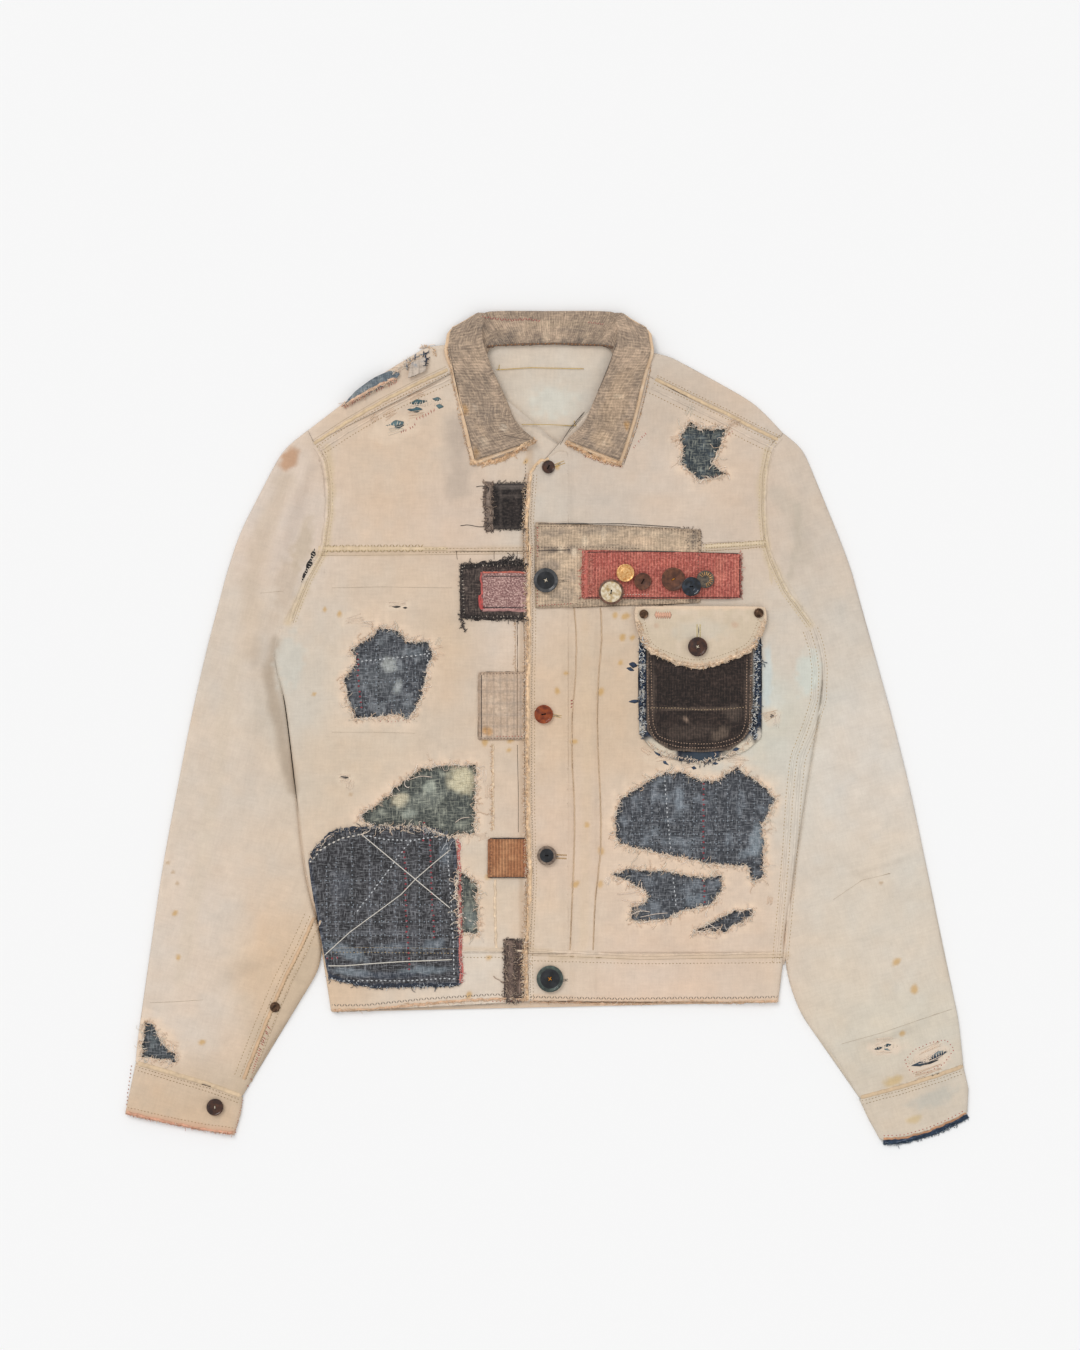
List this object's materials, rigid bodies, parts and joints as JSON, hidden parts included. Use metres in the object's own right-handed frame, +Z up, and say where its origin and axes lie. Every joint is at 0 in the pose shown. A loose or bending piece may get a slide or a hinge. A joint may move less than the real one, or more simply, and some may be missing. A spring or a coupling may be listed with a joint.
{
  "type": "patched denim jacket",
  "caption": "Long-sleeved buttoned denim work jacket laid flat, mended with sewn-on cloth patches, with a turned-down collar, flapped chest pocket, cuffs and waistband.",
  "frame": {"origin": "middle of the jacket's box, on the floor it lies on", "axes": "+Z up off the floor, front of the jacket upwards; +Y from hem to collar; +X towards the wearer's left sleeve"},
  "size_m": [0.802, 0.7922, 0.0157],
  "materials": {
    "ecru_denim": "washed, yellowed and stained",
    "ribbed_grey_cloth": "worn ribs",
    "coral_corduroy": "worn pile",
    "brown_corduroy": "worn pile",
    "tan_corduroy": "worn pile",
    "indigo_denim": "faded, hand-stitched",
    "green_denim": "faded",
    "black_plaid": "frayed",
    "mauve_cloth": "worn",
    "faded_check": "washed out",
    "black_button": "polished",
    "brown_button": "polished",
    "shell_button": "polished",
    "brass": "tarnished",
    "aged_copper": "dark, worn"
  },
  "bodies": {
    "root": {"back_panel": "ecru_denim", "back_yoke": "ecru_denim", "backing_chest_right": "indigo_denim", "backing_front_left": "indigo_denim", "backing_side_right": "green_denim", "backing_sleeve_right": "indigo_denim", "backing_yoke_left": "green_denim", "button_belly": "aged_copper", "button_brass": "brass", "button_chest": "black_button", "button_cuff_right": "brown_button", "button_gold": "brass", "button_hem": "black_button", "button_horn_large": "brown_button", "button_horn_small": "brown_button", "button_middle": "brown_button", "button_navy": "black_button", "button_neck": "brown_button", "button_pocket": "brown_button", "button_shell": "shell_button", "collar_top": "ribbed_grey_cloth", "collar_under": "ecru_denim", "cuff_left_lining": "indigo_denim", "cuff_left_under": "ecru_denim", "cuff_left_upper": "ecru_denim", "cuff_right_under": "ecru_denim", "cuff_right_upper": "ecru_denim", "front_left": "ecru_denim", "front_right": "ecru_denim", "patch_black": "black_plaid", "patch_check": "faded_check", "patch_coral": "coral_corduroy", "patch_dark": "brown_corduroy", "patch_mauve": "mauve_cloth", "patch_plaid": "black_plaid", "patch_ribbed": "ribbed_grey_cloth", "patch_sashiko": "indigo_denim", "patch_shoulder_indigo": "indigo_denim", "patch_shoulder_stripe": "faded_check", "patch_tan": "tan_corduroy", "placket": "ecru_denim", "pocket": "brown_corduroy", "pocket_flap": "ecru_denim", "pocket_underlay": "indigo_denim", "rivet_flap_left": "aged_copper", "rivet_flap_right": "aged_copper", "rivet_sleeve_right": "aged_copper", "sleeve_left_under": "ecru_denim", "sleeve_left_upper": "ecru_denim", "sleeve_right_under": "ecru_denim", "sleeve_right_upper": "ecru_denim", "waistband_back": "ecru_denim", "waistband_left": "ecru_denim", "waistband_right": "ecru_denim", "yoke_left": "ecru_denim", "yoke_right": "ecru_denim"}
  },
  "joints": []
}
